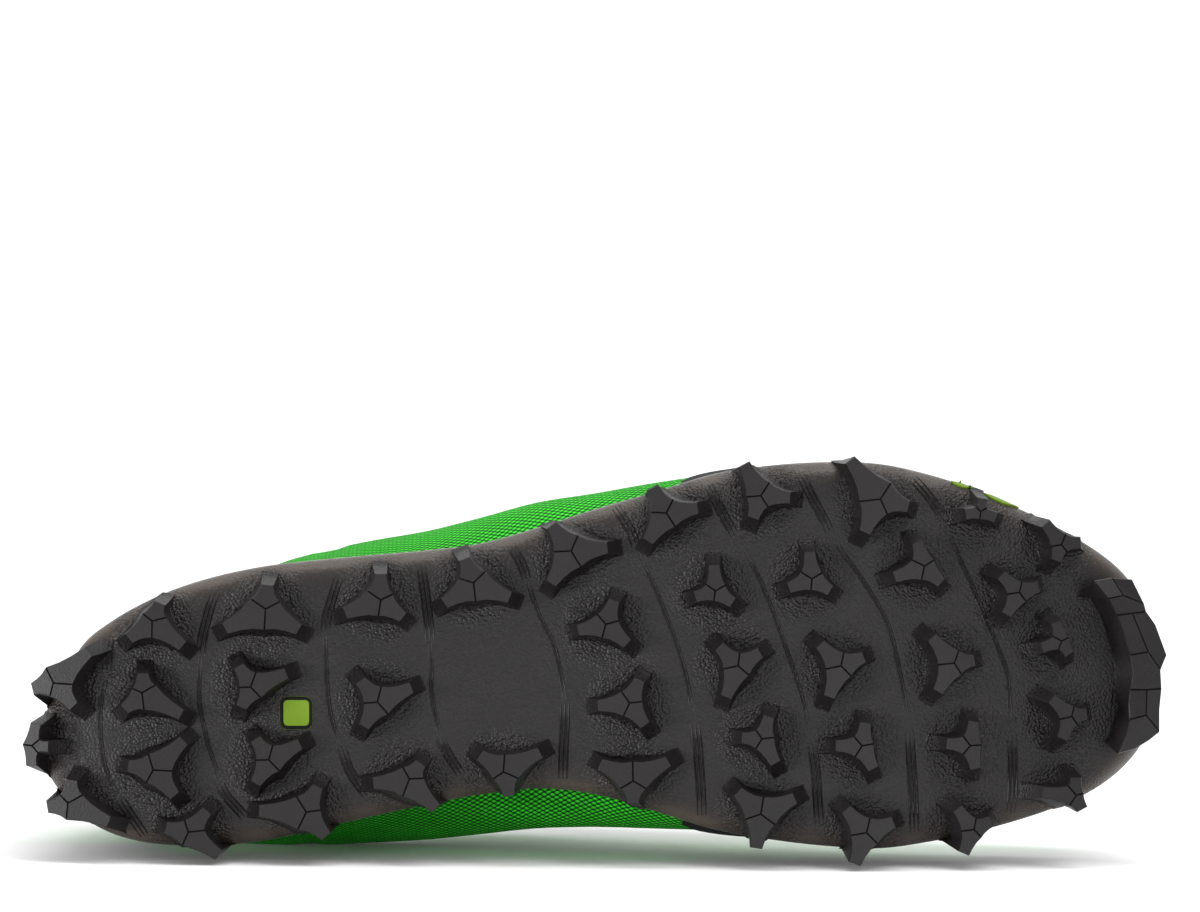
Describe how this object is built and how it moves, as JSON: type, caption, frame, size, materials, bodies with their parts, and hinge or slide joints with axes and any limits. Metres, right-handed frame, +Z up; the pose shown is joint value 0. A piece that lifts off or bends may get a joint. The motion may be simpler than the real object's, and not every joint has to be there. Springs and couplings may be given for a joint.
{
  "type": "trail running shoe",
  "caption": "Low-cut trail running shoe for the right foot, lying on its side, with a lugged rubber outsole and a hollow woven upper.",
  "frame": {"origin": "centre of the bounding box's bottom: the middle of the floor area that the lying shoe covers", "axes": "+X towards the toe, +Z up from the floor, which is the lateral side of the lying right shoe, -Y the side that the tread faces"},
  "size_m": [0.2976, 0.1086, 0.1069],
  "materials": {
    "outsole_rubber": "satin moulded rubber with fine pebble grain",
    "midsole_foam": "matt moulded foam",
    "upper_weave": "coarse green woven textile",
    "trim_black": "matt moulded film",
    "lining": "brushed textile",
    "lace_cord": "flat braid",
    "lime_plug": "satin lime rubber"
  },
  "bodies": {
    "root": {"outsole": "outsole_rubber", "midsole": "midsole_foam", "insole": "lining", "upper": "upper_weave", "toe_rand": "trim_black", "heel_counter": "trim_black", "eyestay": "trim_black", "tongue": "lining", "laces": "lace_cord", "pull_loop": "trim_black", "heel_plug": "lime_plug"}
  },
  "joints": []
}
